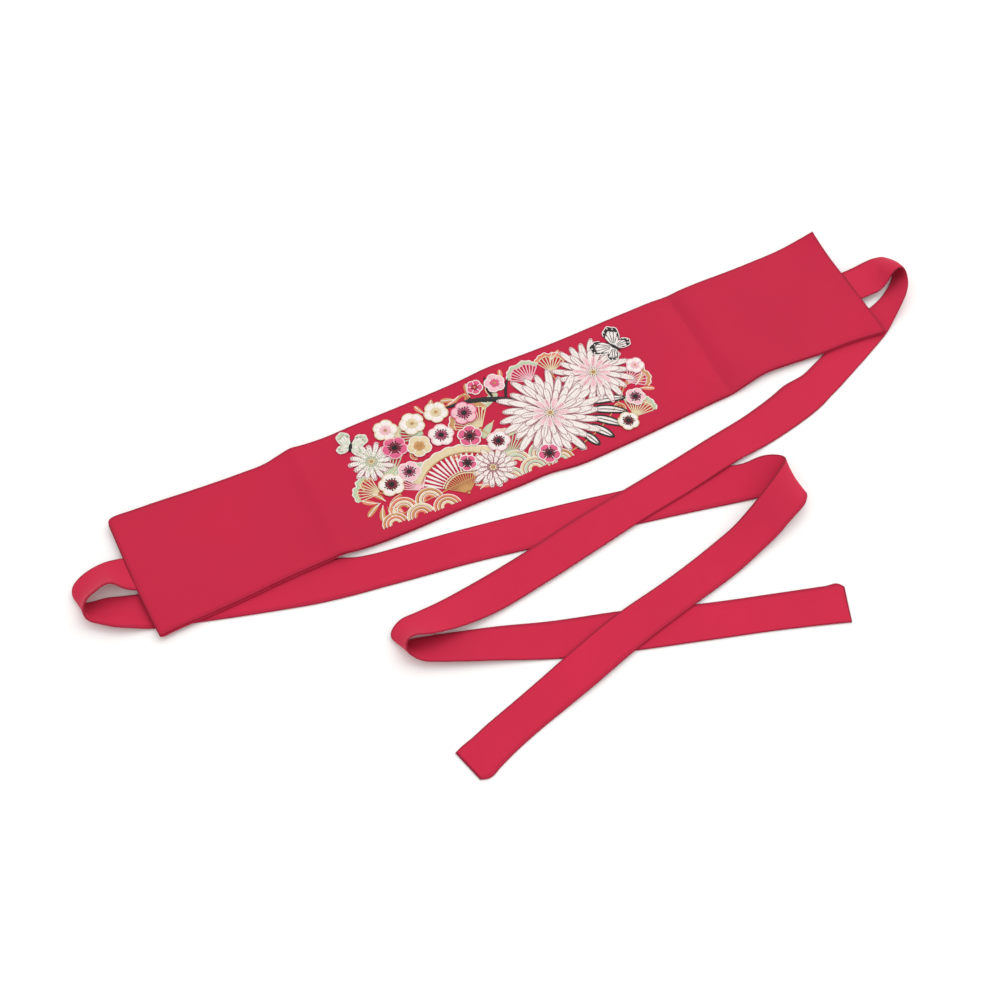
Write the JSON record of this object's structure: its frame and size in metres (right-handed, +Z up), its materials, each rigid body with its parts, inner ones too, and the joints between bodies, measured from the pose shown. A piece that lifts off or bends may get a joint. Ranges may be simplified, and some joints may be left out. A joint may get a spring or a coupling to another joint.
{
  "type": "hanfu waist sash",
  "caption": "Wide embroidered waist panel with a long narrow tie at each end, laid flat front up, its ties looped and crossed in front; worn wrapped and tied round the waist.",
  "frame": {"origin": "middle of the waist panel, on the surface that the sash lies on", "axes": "+X along the panel towards its right end as worn facing the viewer, +Y away from the splayed tie ends, +Z up out of the embroidered front"},
  "size_m": [0.802, 0.3616, 0.0217],
  "materials": {
    "panel_cloth": "crimson plain-woven cotton blend, matte with a faint nap",
    "tie_cloth": "crimson plain-woven cotton blend, matte, folded double and pressed",
    "embroidery_thread": "satin-stitched rayon thread, softly glossy, in white, cream, pink, mint, gold and black"
  },
  "bodies": {
    "root": {"panel_front": "panel_cloth", "panel_back": "panel_cloth", "tie_left": "tie_cloth", "tie_right": "tie_cloth"}
  },
  "joints": []
}
